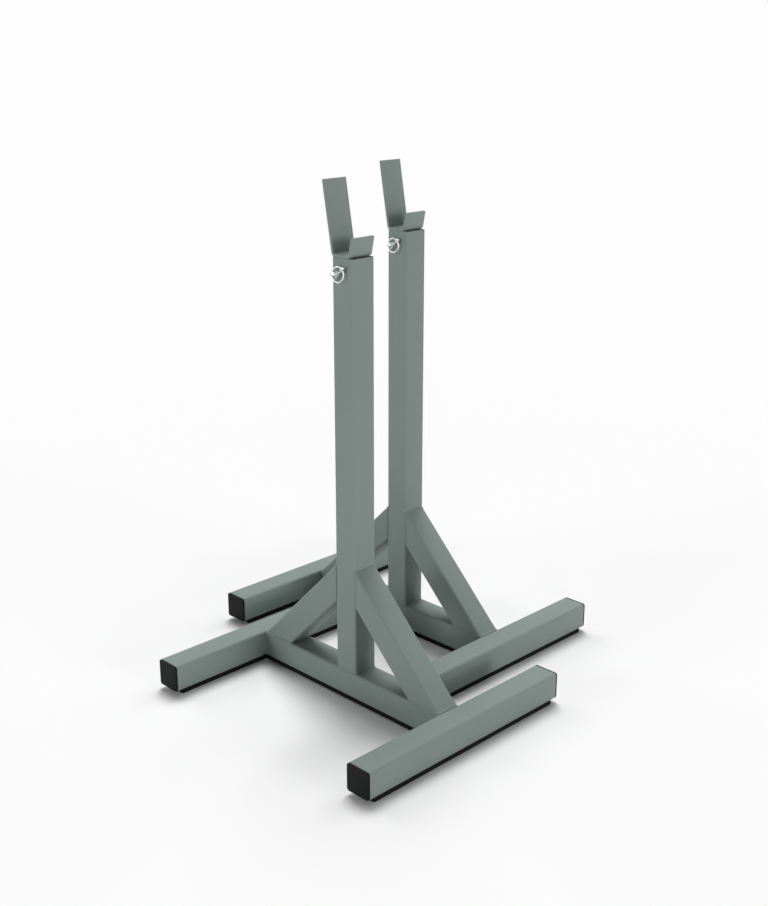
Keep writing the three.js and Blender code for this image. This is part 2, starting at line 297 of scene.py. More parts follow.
def strip_rubber():
    """Solid black rubber strip, extruded and cut. It gives the eye a dull black with a
    faint dusty mottle."""
    material, tree, place = new_material("extruded_black_rubber")
    mottle = add(tree, "ShaderNodeTexNoise", links={
        "Vector": place,
        "Scale": fineness(1.5),
        "Detail": 4.0,
    })
    colour = add(tree, "ShaderNodeMix", {"data_type": "RGBA"}, {
        MIX_FACTOR: mottle.outputs["Fac"],
        MIX_FIRST: linear("#0f1010"),
        MIX_SECOND: linear("#151616"),
    })
    gloss = add(tree, "ShaderNodeMapRange", links={
        "Value": mottle.outputs["Fac"],
        "To Min": 0.75,
        "To Max": 0.9,
    })
    normal = add(tree, "ShaderNodeBump", links={
        "Height": mottle.outputs["Fac"],
        "Distance": 0.08 * MM,
    })
    rubber = add(tree, "ShaderNodeBsdfPrincipled", links={
        "Base Color": colour.outputs[MIX_RESULT],
        "Roughness": gloss.outputs["Result"],
        "IOR": 1.52,
        "Specular IOR Level": 0.1,
        "Normal": normal.outputs["Normal"],
    })
    add(tree, "ShaderNodeOutputMaterial", links={"Surface": rubber.outputs["BSDF"]})
    return material


def bright_zinc():
    """Bright zinc plate on turned steel and spring wire. It gives the eye a cool silver
    with fine turning marks and cloudy patches in its gloss."""
    material, tree, place = new_material("bright_zinc_plate")
    clouds = add(tree, "ShaderNodeTexNoise", links={
        "Vector": place,
        "Scale": fineness(6),
        "Detail": 3.0,
    })
    # The real marks are about 0.2 mm apart. They are drawn at 0.6 mm, so that they show.
    marks = add(tree, "ShaderNodeTexNoise", links={
        "Vector": place,
        "Scale": fineness(0.6),
    })
    colour = add(tree, "ShaderNodeMix", {"data_type": "RGBA"}, {
        MIX_FACTOR: clouds.outputs["Fac"],
        MIX_FIRST: linear("#c6cac9"),
        MIX_SECOND: linear("#d8dcdb"),
    })
    gloss = add(tree, "ShaderNodeMapRange", links={
        "Value": clouds.outputs["Fac"],
        "To Min": 0.2,
        "To Max": 0.36,
    })
    normal = add(tree, "ShaderNodeBump", links={
        "Height": marks.outputs["Fac"],
        "Distance": 0.01 * MM,
    })
    plate = add(tree, "ShaderNodeBsdfPrincipled", links={
        "Base Color": colour.outputs[MIX_RESULT],
        "Metallic": 1.0,
        "Roughness": gloss.outputs["Result"],
        "Normal": normal.outputs["Normal"],
    })
    add(tree, "ShaderNodeOutputMaterial", links={"Surface": plate.outputs["BSDF"]})
    return material


PAINT = powder_coat()
PLASTIC = moulded_plastic()
RUBBER = strip_rubber()
ZINC = bright_zinc()


# Geometry Nodes

def new_tree(name, sizes):
    """A geometry tree with a Geometry input, named inputs for its sizes and one output.
    Sizes are pairs of a name and the socket's type."""
    tree = bpy.data.node_groups.new(name, "GeometryNodeTree")
    face = tree.interface
    face.new_socket(name="Geometry", in_out="OUTPUT", socket_type="NodeSocketGeometry")
    face.new_socket(name="Geometry", in_out="INPUT", socket_type="NodeSocketGeometry")
    for label, kind in sizes:
        face.new_socket(name=label, in_out="INPUT", socket_type="NodeSocket" + kind)
    return tree, add(tree, "NodeGroupInput").outputs


def end_tree(tree, geometry, material):
    """Ends a tree in Realize Instances and Set Material."""
    real = add(tree, "GeometryNodeRealizeInstances", links={"Geometry": geometry})
    painted = add(tree, "GeometryNodeSetMaterial", links={
        "Geometry": real.outputs["Geometry"],
        "Material": material,
    })
    add(tree, "NodeGroupOutput", links={"Geometry": painted.outputs["Geometry"]})
    return tree


def rod_tree():
    """A round rod along an edge path. Its radius swells and shrinks in even ripples, as
    a weld bead's does, and with no ripple it is plain wire."""
    tree, sizes = new_tree("rod_along_path", [
        ("Radius", "Float"),
        ("Step", "Float"),
        ("Sides", "Int"),
        ("Ripple pitch", "Float"),
        ("Ripple share", "Float"),
        ("Wander share", "Float"),
        ("Seed", "Float"),
        ("Material", "Material"),
    ])
    line = add(tree, "GeometryNodeMeshToCurve", links={"Mesh": sizes["Geometry"]})
    path = add(tree, "GeometryNodeResampleCurve", {"mode": "LENGTH"}, {
        "Curve": line.outputs["Curve"],
        "Length": sizes["Step"],
    })
    along = add(tree, "GeometryNodeSplineParameter").outputs["Length"]
    turns = add(tree, "ShaderNodeMath", {"operation": "DIVIDE"}, {
        0: along,
        1: sizes["Ripple pitch"],
    })
    angle = add(tree, "ShaderNodeMath", {"operation": "MULTIPLY"}, {
        0: turns.outputs[0],
        1: math.tau,
    })
    wave = add(tree, "ShaderNodeMath", {"operation": "SINE"}, {0: angle.outputs[0]})
    ripple = add(tree, "ShaderNodeMath", {"operation": "MULTIPLY_ADD"}, {
        0: wave.outputs[0],
        1: sizes["Ripple share"],
        2: 1.0,
    })
    wander = add(tree, "ShaderNodeTexNoise", {"noise_dimensions": "4D"}, {
        "W": sizes["Seed"],
        "Scale": fineness(WELD_WANDER_LENGTH),
    })
    swing = add(tree, "ShaderNodeMath", {"operation": "SUBTRACT"}, {
        0: wander.outputs["Fac"],
        1: 0.5,
    })
    factor = add(tree, "ShaderNodeMath", {"operation": "MULTIPLY_ADD"}, {
        0: swing.outputs[0],
        1: sizes["Wander share"],
        2: ripple.outputs[0],
    })
    ring = add(tree, "GeometryNodeCurvePrimitiveCircle", links={
        "Resolution": sizes["Sides"],
        "Radius": sizes["Radius"],
    })
    rod = add(tree, "GeometryNodeCurveToMesh", links={
        "Curve": path.outputs["Curve"],
        "Profile Curve": ring.outputs["Curve"],
        "Scale": factor.outputs[0],
        "Fill Caps": True,
    })
    return end_tree(tree, rod.outputs["Mesh"], sizes["Material"])


def pin_hole_tree():
    """Cuts a row of round holes across a tube, along X, each the pitch below the last."""
    tree, sizes = new_tree("row_of_pin_holes", [
        ("Count", "Int"),
        ("Pitch", "Vector"),
        ("First hole", "Vector"),
        ("Radius", "Float"),
        ("Length", "Float"),
        ("Material", "Material"),
    ])
    places = add(tree, "GeometryNodeMeshLine", {"mode": "OFFSET"}, {
        "Count": sizes["Count"],
        "Start Location": sizes["First hole"],
        "Offset": sizes["Pitch"],
    })
    drill = add(tree, "GeometryNodeMeshCylinder", {"fill_type": "NGON"}, {
        "Vertices": PIN_STEPS,
        "Radius": sizes["Radius"],
        "Depth": sizes["Length"],
    })
    drills = add(tree, "GeometryNodeInstanceOnPoints", links={
        "Points": places.outputs["Mesh"],
        "Instance": drill.outputs["Mesh"],
        "Rotation": (0, math.pi / 2, 0),
    })
    bored = add(tree, "GeometryNodeMeshBoolean", {"operation": "DIFFERENCE"}, {
        "Mesh 1": sizes["Geometry"],
        "Mesh 2": add(tree, "GeometryNodeRealizeInstances", links={
            "Geometry": drills.outputs["Instances"],
        }).outputs["Geometry"],
    })
    return end_tree(tree, bored.outputs["Mesh"], sizes["Material"])


def rib_tree():
    """Joins a row of copies of a rib to the plug that it goes round."""
    tree, sizes = new_tree("row_of_ribs", [
        ("Rib", "Object"),
        ("Count", "Int"),
        ("Pitch", "Vector"),
        ("Material", "Material"),
    ])
    places = add(tree, "GeometryNodeMeshLine", {"mode": "OFFSET"}, {
        "Count": sizes["Count"],
        "Start Location": sizes["Pitch"],
        "Offset": sizes["Pitch"],
    })
    rib = add(tree, "GeometryNodeObjectInfo", links={"Object": sizes["Rib"]})
    ribs = add(tree, "GeometryNodeInstanceOnPoints", links={
        "Points": places.outputs["Mesh"],
        "Instance": rib.outputs["Geometry"],
    })
    real = add(tree, "GeometryNodeRealizeInstances", links={
        "Geometry": ribs.outputs["Instances"],
    })
    joined = add(tree, "GeometryNodeMeshBoolean", {"operation": "UNION"}, {
        "Mesh 2": sizes["Geometry"],
    })
    # A union takes all its meshes at one input, so the ribs are linked to it too
    tree.links.new(real.outputs["Geometry"], joined.inputs["Mesh 2"])
    return end_tree(tree, joined.outputs["Mesh"], sizes["Material"])


ROD = rod_tree()
PIN_HOLES = pin_hole_tree()
RIBS = rib_tree()


def bake(thing):
    """Turns an object and its modifiers to one plain mesh on the same object."""
    graph = bpy.context.evaluated_depsgraph_get()
    mesh = bpy.data.meshes.new_from_object(thing.evaluated_get(graph))
    thing.modifiers.clear()
    thing.data = mesh


def grow(thing, tree, **values):
    """Turns an object to the plain mesh that a geometry tree makes of it. The values go
    to the tree's inputs by their labels, with _ for a space."""
    maker = thing.modifiers.new(tree.name, "NODES")
    maker.node_group = tree
    sockets = {
        item.name: item.identifier
        for item in tree.interface.items_tree
        if item.in_out == "INPUT"
    }
    for label, value in values.items():
        maker[sockets[label.replace("_", " ")]] = value
    bake(thing)


# Mesh making

def piece_of(name, mesh, material=None):
    """A new object at the origin for a mesh that was drawn in millimetres."""
    mesh.name = name
    thing = bpy.data.objects.new(name, mesh)
    bpy.context.scene.collection.objects.link(thing)
    if material:
        mesh.materials.append(material)
    return thing


def mesh_of(points, faces):
    """A mesh in metres from points in millimetres, with its faces turned outwards."""
    form = bmesh.new()
    corners = [form.verts.new(Vector(point) * MM) for point in points]
    for face in faces:
        form.faces.new([corners[i] for i in face])
    bmesh.ops.recalc_face_normals(form, faces=form.faces)
    mesh = bpy.data.meshes.new("form")
    form.to_mesh(mesh)
    form.free()
    return mesh


def path_of(points, closed):
    """A mesh of edges alone, along points in millimetres."""
    ends = list(range(len(points)))
    next_ends = ends[1:] + ends[:1] if closed else ends[1:]
    edges = list(zip(ends, next_ends))
    mesh = bpy.data.meshes.new("path")
    mesh.from_pydata([Vector(point) * MM for point in points], edges, [])
    return mesh


def quarter_arc(x, y, radius, quarter):
    """Points along a quarter circle round x and y, anticlockwise. Quarter 0 starts at
    its right, quarter 1 at its top."""
    points = []
    for step in range(CORNER_STEPS + 1):
        angle = (quarter + step / CORNER_STEPS) * math.pi / 2
        points.append((x + radius * math.cos(angle), y + radius * math.sin(angle)))
    return points


def rounded_square(side, corner):
    """The outline of a square with round corners, anticlockwise."""
    inset = side / 2 - corner
    centres = [(inset, inset), (-inset, inset), (-inset, -inset), (inset, -inset)]
    return [
        point
        for quarter, centre in enumerate(centres)
        for point in quarter_arc(*centre, corner, quarter)
    ]


def cut_outline(outline, axis, across, up, centre, plane_point, plane_normal):
    """An outline drawn square to an axis, and slid along the axis to lie in a plane."""
    placed = []
    for u, v in outline:
        start = centre + across * u + up * v
        slide = (plane_point - start).dot(plane_normal) / axis.dot(plane_normal)
        placed.append(start + axis * slide)
    return placed


def tube_mesh(side, corner, wall, axis, across, up, centre, first_plane, last_plane):
    """A hollow square tube between two planes. A plane is a point and a normal."""
    bore_corner = max(corner - wall, wall * SHARPEST_BORE_CORNER)
    sections = [rounded_square(side, corner), rounded_square(side - 2 * wall, bore_corner)]
    rings = [
        cut_outline(section, axis, across, up, centre, *plane)
        for section in sections
        for plane in (first_plane, last_plane)
    ]
    count = len(rings[0])
    points = [point for ring in rings for point in ring]
    outer_first, outer_last, inner_first, inner_last = (i * count for i in range(4))
    faces = []
    for a, b in (
        (outer_first, outer_last),
        (inner_first, inner_last),
        (outer_first, inner_first),
        (outer_last, inner_last),
    ):
        for i in range(count):
            j = (i + 1) % count
            faces.append((a + i, a + j, b + j, b + i))
    return mesh_of(points, faces)


def prism_mesh(outline, length, axis, across, up, start):
    """A solid prism of an outline, from its start along its axis."""
    near = [start + across * u + up * v for u, v in outline]
    far = [point + axis * length for point in near]
    count = len(outline)
    faces = [tuple(range(count)), tuple(range(count, 2 * count))]
    for i in range(count):
        j = (i + 1) % count
        faces.append((i, j, count + j, count + i))
    return mesh_of(near + far, faces)


def turned_mesh(profile):
    """A solid turned about Z from pairs of radius and height. The first and last pair
    lie on the axis."""
    points = [(0, 0, profile[0][1])]
    for radius, height in profile[1:-1]:
        for step in range(PIN_STEPS):
            angle = math.tau * step / PIN_STEPS
            points.append((radius * math.cos(angle), radius * math.sin(angle), height))
    points.append((0, 0, profile[-1][1]))
    faces = []
    rings = len(profile) - 2
    for step in range(PIN_STEPS):
        after = (step + 1) % PIN_STEPS
        faces.append((0, 1 + step, 1 + after))
        for ring in range(rings - 1):
            low, high = 1 + ring * PIN_STEPS, 1 + (ring + 1) * PIN_STEPS
            faces.append((low + step, low + after, high + after, high + step))
        top = 1 + (rings - 1) * PIN_STEPS
        faces.append((top + step, top + after, len(points) - 1))
    return mesh_of(points, faces)


def soften(thing, width):
    """Rounds a piece's sharp edges by that many millimetres."""
    rounding = thing.modifiers.new("soft_edges", "BEVEL")
    rounding.width = width * MM
    rounding.segments = EDGE_SEGMENTS
    rounding.limit_method = "ANGLE"
    rounding.angle_limit = ROUNDED_ANGLE
    rounding.use_clamp_overlap = True
    bake(thing)


def combine(thing, other, operation):
    """Joins another object's solid to this one, or cuts it away, and deletes the other."""
    tool = thing.modifiers.new("combine", "BOOLEAN")
    tool.operation = operation
    tool.solver = "EXACT"
    tool.object = other
    bake(thing)
    bpy.data.objects.remove(other)


def finish_piece(thing, body, slot, *nodes):
    """Smooths the round faces, hangs the piece on its body and hides the CAD nodes that it
    stands for. Its slot is not used."""
    thing.data.shade_smooth()
    thing.data.set_sharp_from_angle(angle=CREASE_ANGLE)
    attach(thing, body)
    if nodes:
        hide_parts(*nodes)


def millimetre_box(node):
    """The lowest and highest corner of a CAD node, in millimetres."""
    low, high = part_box(node)
    return low / MM, high / MM


# Tubes

def straight_tube(name, node, axis, across, up, side, corner, wall):
    """A tube with square ends that fills its CAD node's box."""
    low, high = millimetre_box(node)
    centre = (low + high) / 2
    half = abs((high - low).dot(axis)) / 2
    mesh = tube_mesh(
        side, corner, wall, axis, across, up, centre,
        (centre - axis * half, axis), (centre + axis * half, axis))
    return piece_of(name, mesh, PAINT)


def weld(name, path, body, seed, radius=WELD_RADIUS, closed=True):
    """A painted weld bead along a path. Its seed gives it swellings of its own."""
    bead = piece_of(name, path_of(path, closed))
    grow(
        bead, ROD, Radius=radius * MM, Step=WELD_STEP * MM, Sides=WELD_SIDES,
        Ripple_pitch=WELD_RIPPLE_PITCH * MM, Ripple_share=WELD_RIPPLE_SHARE,
        Wander_share=WELD_WANDER_SHARE, Seed=seed, Material=PAINT)
    finish_piece(bead, body, "painted_steel")


def build_frame(prefix, body):
    """The welded frame of one stand."""
    upright_node = prefix + "upright"
    low, high = millimetre_box(upright_node)
    side = high.x - low.x
    place = Vector(((low.x + high.x) / 2, (low.y + high.y) / 2, 0))
    frame_tube = (side, FRAME_CORNER, FRAME_WALL)

    upright = straight_tube(upright_node + "_tube", upright_node, Z, X, Y, *frame_tube)
    grow(
        upright, PIN_HOLES, Count=1, Pitch=(0.0, 0.0, 0.0),
        First_hole=(place.x * MM, place.y * MM, (high.z - PIN_DROP) * MM),
        Radius=PIN_HOLE_RADIUS * MM, Length=2 * side * MM, Material=PAINT)
    soften(upright, TUBE_EDGE_ROUND)
    finish_piece(upright, body, "painted_steel", upright_node)

    beam_node = prefix + "crossbeam"
    beam = straight_tube(beam_node + "_tube", beam_node, Y, X, Z, *frame_tube)
    soften(beam, TUBE_EDGE_ROUND)
    finish_piece(beam, body, "painted_steel", beam_node)

    for end in ("front", "back"):
        node = f"{prefix}{end}_foot"
        foot = straight_tube(node + "_tube", node, X, Y, Z, *frame_tube)
        soften(foot, TUBE_EDGE_ROUND)
        finish_piece(foot, body, "painted_steel", node)
        build_brace(prefix, end, body, place, low.z, frame_tube)

    weld_outline = rounded_square(side - 2 * WELD_SET_IN, FRAME_CORNER)
    stand_plane = (Vector((0, 0, low.z - SEAT_GAP / 2)), Z)
    weld(
        prefix + "upright_weld",
        cut_outline(weld_outline, Z, X, Y, place, *stand_plane), body, seed=1.0)
    beam_low, beam_high = millimetre_box(beam_node)
    beam_centre = (beam_low + beam_high) / 2
    for end, y in (("front", beam_low.y), ("back", beam_high.y)):
        weld(
            f"{prefix}{end}_crossbeam_weld",
            cut_outline(weld_outline, Y, X, Z, beam_centre, Vector((0, y, 0)), Y),
            body, seed=2.0)


def build_brace(prefix, end, body, place, bottom, frame_tube):
    """A brace at 45 degrees, trimmed to stand on the crossbeam and to meet the upright."""
    node = f"{prefix}{end}_brace"
    side = frame_tube[0]
    out = -1 if end == "front" else 1
    low, high = millimetre_box(node)
    face_y = high.y if out < 0 else low.y
    toe_y = low.y if out < 0 else high.y
    slope = Vector((0, -out, 1)).normalized()
    above = Vector((0, out, 1)).normalized()
    toe = Vector((place.x, toe_y, bottom))
    centre = toe - above * (side / 2)
    on_beam = (Vector((0, 0, bottom)), Z)
    on_upright = (Vector((0, face_y, 0)), Y)
    mesh = tube_mesh(*frame_tube, slope, X, above, centre, on_beam, on_upright)
    brace = piece_of(node + "_tube", mesh, PAINT)
    soften(brace, TUBE_EDGE_ROUND)
    finish_piece(brace, body, "painted_steel", node)
    outline = rounded_square(side - 2 * WELD_SET_IN, FRAME_CORNER)
    for where, plane, seed in (("foot", on_beam, 3.0), ("top", on_upright, 4.0)):
        weld(
            f"{node}_{where}_weld",
            cut_outline(outline, slope, X, above, centre, *plane), body, seed=seed)


# Caps and rubber strips

def cap_head_rings(side):
    """The cap head's rings from its underside to its crown, each a corner radius, a side
    and a height."""
    rings = [(FRAME_CORNER, side, 0.0)]
    for step in range(CAP_EDGE_STEPS + 1):
        angle = step / CAP_EDGE_STEPS * math.pi / 2
        inset = CAP_EDGE_ROUND * (1 - math.cos(angle))
        height = CAP_HEAD - CAP_CROWN - CAP_EDGE_ROUND * (1 - math.sin(angle))
        rings.append((FRAME_CORNER - inset, side - 2 * inset, height))
    flat = side - 2 * CAP_EDGE_ROUND
    for share in CAP_CROWN_SHARES:
        height = CAP_HEAD - CAP_CROWN * share ** 2
        rings.append(((FRAME_CORNER - CAP_EDGE_ROUND) * share, flat * share, height))
    return rings


def cap_head_mesh(side, seat, axis):
    """The cap's head, which stands on its seat at the tube's end."""
    points, faces = [], []
    rings = cap_head_rings(side)
    for corner, width, height in rings:
        for u, v in rounded_square(width, corner):
            points.append(seat + axis * height + Y * u + Z * v)
    count = len(points) // len(rings)
    faces.append(tuple(range(count)))
    faces.append(tuple(range(len(points) - count, len(points))))
    for ring in range(len(rings) - 1):
        a, b = ring * count, (ring + 1) * count
        for i in range(count):
            j = (i + 1) % count
            faces.append((a + i, a + j, b + j, b + i))
    return mesh_of(points, faces)


def ribbed_plug(side, seat, axis):
    """The cap's hollow plug, with ribs that grip the inside of the tube."""
    bore = side - 2 * FRAME_WALL
    tip = seat - axis * CAP_PLUG_LENGTH
    plug = piece_of("plug", tube_mesh(
        bore - 2 * CAP_RIB_DEPTH, CAP_PLUG_CORNER, CAP_PLUG_WALL, axis, Y, Z, seat,
        (tip, axis), (seat + axis * CAP_HEAD / 2, axis)), PLASTIC)
    rib_start = seat - axis * CAP_RIB_THICKNESS / 2
    rib = piece_of("rib", tube_mesh(
        bore - 2 * SEAT_GAP, FRAME_CORNER - FRAME_WALL, CAP_RIB_DEPTH + CAP_PLUG_WALL / 2,
        axis, Y, Z, seat, (rib_start, axis), (rib_start + axis * CAP_RIB_THICKNESS, axis)))
    pitch = CAP_PLUG_LENGTH / (CAP_RIB_COUNT + 1)
    grow(
        plug, RIBS, Rib=rib, Count=CAP_RIB_COUNT, Pitch=tuple(-axis * pitch * MM),
        Material=PLASTIC)
    bpy.data.objects.remove(rib)
    return plug


def build_cap(prefix, end, hand, body):
    """A moulded cap with a softly crowned head and a ribbed hollow plug."""
    node = f"{prefix}{end}_{hand}_cap"
    low, high = millimetre_box(node)
    side = high.y - low.y
    seat = (low + high) / 2
    seat.x = low.x + CAP_HEAD if hand == "left" else high.x - CAP_HEAD
    axis = -X if hand == "left" else X
    cap = piece_of(node + "_moulding", cap_head_mesh(side, seat, axis), PLASTIC)
    combine(cap, ribbed_plug(side, seat, axis), "UNION")
    finish_piece(cap, body, "black_plastic", node)


def build_strip(prefix, place, body):
    """A rubber strip under a foot or under the crossbeam, with its lower edges rounded."""
    node = f"{prefix}{place}_rubber_strip"
    low, high = millimetre_box(node)
    axis, across = (Y, X) if place == "middle" else (X, Y)
    half = abs((high - low).dot(across)) / 2
    length = abs((high - low).dot(axis))
    centre = (low + high) / 2
    rise = high.z - low.z
    inset = half - STRIP_EDGE_ROUND
    outline = [
        (half, rise),
        (-half, rise),
        *quarter_arc(-inset, STRIP_EDGE_ROUND, STRIP_EDGE_ROUND, 2),
        *quarter_arc(inset, STRIP_EDGE_ROUND, STRIP_EDGE_ROUND, 3),
    ]
    start = centre - axis * length / 2
    start.z = low.z
    mesh = prism_mesh(outline, length, axis, across, Z, start)
    strip = piece_of(node + "_profile", mesh, RUBBER)
    soften(strip, STRIP_END_ROUND)
    finish_piece(strip, body, "black_rubber", node)


# Post and hook

def build_post(prefix, body):
    """The punched post that slides in the upright."""
    node = prefix + "post"
    low, high = millimetre_box(node)
    side = high.x - low.x
    post = straight_tube(node + "_tube", node, Z, X, Y, side, POST_CORNER, POST_WALL)
    grow(
        post, PIN_HOLES, Count=POST_HOLE_COUNT, Pitch=(0.0, 0.0, -POST_HOLE_PITCH * MM),
        First_hole=tuple(Vector((
            (low.x + high.x) / 2, (low.y + high.y) / 2, high.z - PIN_DROP)) * MM),
        Radius=PIN_HOLE_RADIUS * MM, Length=2 * side * MM, Material=PAINT)
    soften(post, TUBE_EDGE_ROUND)
    finish_piece(post, body, "painted_steel", node)


def bent_line(start, heading, legs, bends, radius):
    """Points along one face of a bent plate. It turns left after each leg but the last."""
    points = [start]
    for i, leg in enumerate(legs):
        along = Vector((math.cos(heading), math.sin(heading)))
        points.append(points[-1] + along * leg)
        if i == len(bends):
            break
        centre = points[-1] + Vector((-along.y, along.x)) * radius
        arm = points[-1] - centre
        for step in range(1, BEND_STEPS + 1):
            turn = Matrix.Rotation(bends[i] * step / BEND_STEPS, 2)
            points.append(centre + turn @ arm)
        heading += bends[i]
    return points


def hook_outline(side):
    """The plate's outline from the flag's top down, along the base and up the lip."""
    outer_radius = HOOK_PLATE + HOOK_BEND_RADIUS
    bends = [math.pi / 2 - FLAG_LEAN, math.pi / 2 - LIP_LEAN]
    setbacks = [outer_radius * math.tan(bend / 2) for bend in bends]
    legs = [
        FLAG_RISE / math.cos(FLAG_LEAN) - setbacks[0],
        side - LIP_SETBACK - sum(setbacks),
        LIP_RISE / math.cos(LIP_LEAN) - setbacks[1],
    ]
    heading = FLAG_LEAN - math.pi / 2
    top = Vector((-side / 2 - FLAG_RISE * math.tan(FLAG_LEAN), FLAG_RISE))
    inner_top = top + Vector((-math.sin(heading), math.cos(heading))) * HOOK_PLATE
    outer = bent_line(top, heading, legs, bends, outer_radius)
    inner = bent_line(inner_top, heading, legs, bends, HOOK_BEND_RADIUS)
    return outer + inner[::-1]


def build_hook(prefix, body):
    """The bent plate hook and its weld to the post."""
    node = prefix + "hook"
    low, high = millimetre_box(node)
    post_low, post_high = millimetre_box(prefix + "post")
    side = high.x - low.x
    start = Vector((low.x, (post_low.y + post_high.y) / 2, low.z))
    hook = piece_of(
        node + "_plate", prism_mesh(hook_outline(side), side, X, -Y, Z, start), PAINT)
    soften(hook, HOOK_EDGE_ROUND)
    finish_piece(hook, body, "painted_steel", node)
    build_hook_weld(prefix, body, post_low, post_high, low)


def build_hook_weld(prefix, body, post_low, post_high, hook_low):
    """The bead round the back of the post, from where the hook's base lies flat on it."""
    side = post_high.x - post_low.x - 2 * WELD_SET_IN
    centre = (post_low + post_high) / 2
    outer_radius = HOOK_PLATE + HOOK_BEND_RADIUS
    flat_start = LIP_SETBACK + outer_radius * math.tan((math.pi / 2 - LIP_LEAN) / 2)
    start = millimetre_box(prefix + "upright")[0].y + flat_start - centre.y
    back_corners = rounded_square(side, POST_CORNER)[:2 * (CORNER_STEPS + 1)]
    outline = [(side / 2, start), *back_corners, (-side / 2, start)]
    joint = (Vector((0, 0, (post_high.z + hook_low.z) / 2)), Z)
    weld(
        prefix + "hook_weld",
        cut_outline(outline, Z, X, Y, centre, *joint),
        body, seed=5.0, radius=POST_WELD_RADIUS, closed=False)


# Pins

def on_lock_pin(prefix):
    """The move from the linch pin's own drawing, which has the ring's hinge axis along Y
    through its origin and the head up, to its place on the lock pin."""
    low, high = millimetre_box(prefix + "lock_pin")
    place = (low + high) / 2
    place.x = millimetre_box(prefix + "upright")[0].x - LINCH_STAND_OFF
    tilt = Matrix.Rotation(LINCH_TILT, 4, "X")
    rise = Matrix.Translation(Z * LINCH_HINGE_RISE * MM)
    return Matrix.Translation(place * MM) @ tilt @ rise


def build_lock_pin(prefix, body):
    """The round bar through upright and post, cross drilled for the linch pin."""
    node = prefix + "lock_pin"
    low, high = millimetre_box(node)
    centre = (low + high) / 2
    length = high.x - low.x
    profile = [(0, 0), (LOCK_PIN_NOSE_RADIUS, 0), (LOCK_PIN_RADIUS, LOCK_PIN_NOSE_TAPER)]
    for step in range(GRIP_STEPS + 1):
        angle = step / GRIP_STEPS * math.pi / 2
        profile.append((
            LOCK_PIN_RADIUS - LOCK_PIN_GRIP_ROUND * (1 - math.cos(angle)),
            length - LOCK_PIN_GRIP_ROUND * (1 - math.sin(angle)),
        ))
    profile.append((0, length))
    bar = piece_of(node + "_bar", turned_mesh(profile), ZINC)
    lie_down = Matrix.Rotation(-math.pi / 2, 4, "Y")
    nose = Vector((high.x, centre.y, centre.z)) * MM
    bar.data.transform(Matrix.Translation(nose) @ lie_down)
    reach = 2 * LOCK_PIN_RADIUS
    drill = piece_of("drill", turned_mesh([
        (0, -reach), (LINCH_HOLE_RADIUS, -reach), (LINCH_HOLE_RADIUS, reach), (0, reach)]))
    to_pin_centre = Matrix.Translation(-Z * LINCH_HINGE_RISE * MM)
    drill.data.transform(on_lock_pin(prefix) @ to_pin_centre)
    combine(bar, drill, "DIFFERENCE")
    soften(bar, LOCK_PIN_EDGE_ROUND)
    finish_piece(bar, body, "zinc_plate", node)


def build_linch_pin(prefix, body):
    """The linch pin: a turned shank under a rounded head that the ring's ends go into."""
    node = prefix + "linch_pin"
    tip = -ring_drop() - RING_RADIUS - RING_WIRE / 2 - LINCH_TIP_PAST_RING
    shank = piece_of(node + "_shank", turned_mesh([
        (0, tip),
        (LINCH_TIP_RADIUS, tip),
        (LINCH_RADIUS, tip + LINCH_TIP_TAPER),
        (LINCH_RADIUS, 0),
        (0, 0),
    ]), ZINC)
    across, up = LINCH_HEAD_WIDTH / 2, LINCH_HEAD_HEIGHT - LINCH_EYE_RISE
    inset, shoulder = across - LINCH_HEAD_ROUND, up - LINCH_HEAD_ROUND
    outline = [
        (-across, -LINCH_EYE_RISE),
        (across, -LINCH_EYE_RISE),
        *quarter_arc(inset, shoulder, LINCH_HEAD_ROUND, 0),
        *quarter_arc(-inset, shoulder, LINCH_HEAD_ROUND, 1),
    ]
    depth = LINCH_HEAD_DEPTH
    head = piece_of("head", prism_mesh(outline, depth, X, Y, Z, -X * depth / 2))
    soften(head, LINCH_HEAD_EDGE)
    combine(shank, head, "UNION")
    reach = 2 * across
    eye = turned_mesh([
        (0, -reach), (RING_EYE_RADIUS, -reach), (RING_EYE_RADIUS, reach), (0, reach)])
    eye.transform(Matrix.Rotation(math.pi / 2, 4, "X"))
    combine(shank, piece_of("eye", eye), "DIFFERENCE")
    shank.data.transform(on_lock_pin(prefix))
    finish_piece(shank, body, "zinc_plate", node)


def ring_stub():
    """Half the ring's straight wire, from the middle of the head to where it bends."""
    return LINCH_HEAD_WIDTH / 2 + SEAT_GAP


def ring_drop():
    """How far the ring's centre lies below its hinge axis."""
    return math.sqrt(RING_RADIUS ** 2 - ring_stub() ** 2)


def build_ring(prefix, body):
    """The spring wire ring. It leans just enough to lie against the linch pin's tail."""
    node = prefix + "linch_ring"
    reach = ring_drop() + RING_RADIUS
    lean = math.asin((LINCH_RADIUS + RING_WIRE / 2 + SEAT_GAP) / reach)
    open_turn = math.pi - math.asin(ring_stub() / RING_RADIUS)
    path = [(-RING_END_GAP / 2, 0.0)]
    for step in range(RING_STEPS + 1):
        turn = open_turn * (1 - 2 * step / RING_STEPS)
        down = ring_drop() + RING_RADIUS * math.cos(turn)
        path.append((-RING_RADIUS * math.sin(turn), down))
    path.append((RING_END_GAP / 2, 0.0))
    points = [(-down * math.sin(lean), y, -down * math.cos(lean)) for y, down in path]
    ring = piece_of(node + "_wire", path_of(points, closed=False))
    grow(
        ring, ROD, Radius=RING_WIRE / 2 * MM, Step=RING_WIRE_STEP * MM,
        Sides=RING_WIRE_SIDES, Ripple_pitch=1.0, Ripple_share=0.0, Wander_share=0.0,
        Seed=0.0, Material=ZINC)
    ring.data.transform(on_lock_pin(prefix))
    finish_piece(ring, body, "zinc_plate", node)


# Assembly

